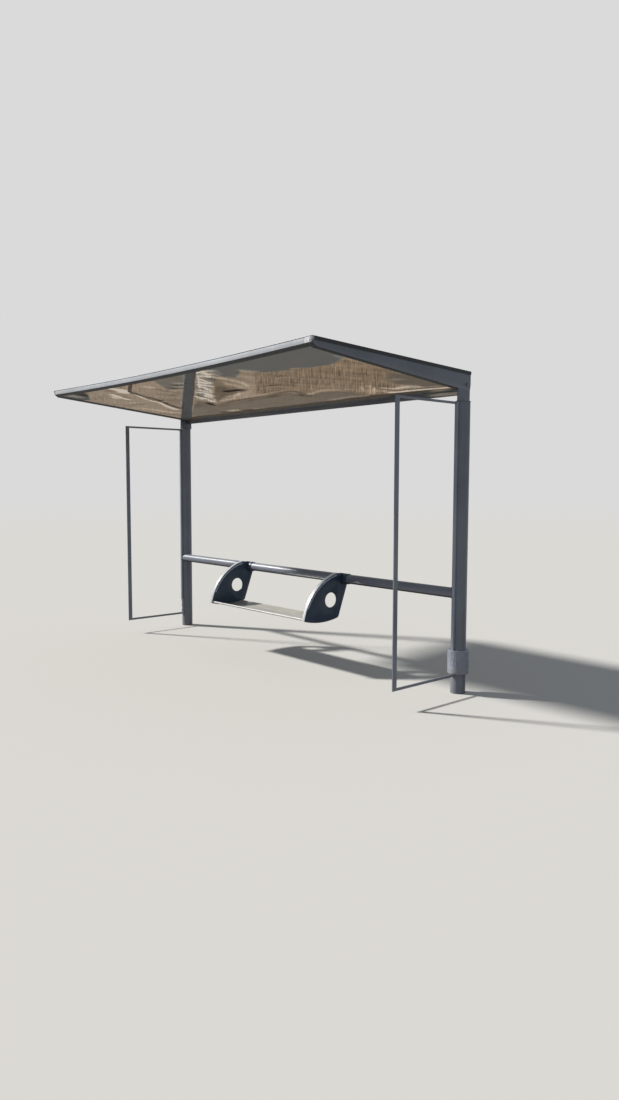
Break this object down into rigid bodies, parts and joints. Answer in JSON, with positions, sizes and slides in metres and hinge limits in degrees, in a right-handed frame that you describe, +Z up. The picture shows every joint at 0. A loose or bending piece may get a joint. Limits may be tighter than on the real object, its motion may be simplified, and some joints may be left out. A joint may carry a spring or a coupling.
{
  "type": "bus shelter",
  "caption": "Cantilevered bus shelter on two round rear posts, with tapered arms, a sloping roof, open side frames and a hanging bench.",
  "frame": {"origin": "centre of the left post's foot at ground level", "axes": "+X along the shelter to the right post, +Y to the back, +Z up"},
  "size_m": [3.9807, 1.584, 2.5016],
  "materials": {
    "frame_paint": "semi-gloss grey paint",
    "screen_paint": "semi-gloss grey paint",
    "roof_paint": "semi-gloss grey paint",
    "fascia_paint": "semi-gloss light grey paint",
    "soffit_gloss": "high-gloss grey sheet",
    "seat_gloss": "glossy grey paint",
    "wrap_film": "wrinkled translucent white film over foam"
  },
  "bodies": {
    "root": {"bench_tube": "frame_paint", "front_fascia": "fascia_paint", "left_arm": "frame_paint", "left_armrest": "frame_paint", "left_end_plate": "frame_paint", "left_neck": "frame_paint", "left_plate_left_collar": "frame_paint", "left_plate_right_collar": "frame_paint", "left_post": "frame_paint", "left_post_cap": "frame_paint", "left_screen_bottom_rail": "screen_paint", "left_screen_rear_bar": "screen_paint", "left_screen_top_rail": "screen_paint", "left_screen_upright": "screen_paint", "rear_beam": "frame_paint", "rear_fascia": "roof_paint", "right_arm": "frame_paint", "right_armrest": "frame_paint", "right_end_plate": "frame_paint", "right_neck": "frame_paint", "right_plate_left_collar": "frame_paint", "right_plate_right_collar": "frame_paint", "right_post": "frame_paint", "right_post_cap": "frame_paint", "right_post_wrap": "wrap_film", "right_screen_bottom_rail": "screen_paint", "right_screen_rear_bar": "screen_paint", "right_screen_top_rail": "screen_paint", "right_screen_upright": "screen_paint", "roof_sheet": "roof_paint", "seat_pan": "seat_gloss", "soffit_sheet": "soffit_gloss"}
  },
  "joints": []
}
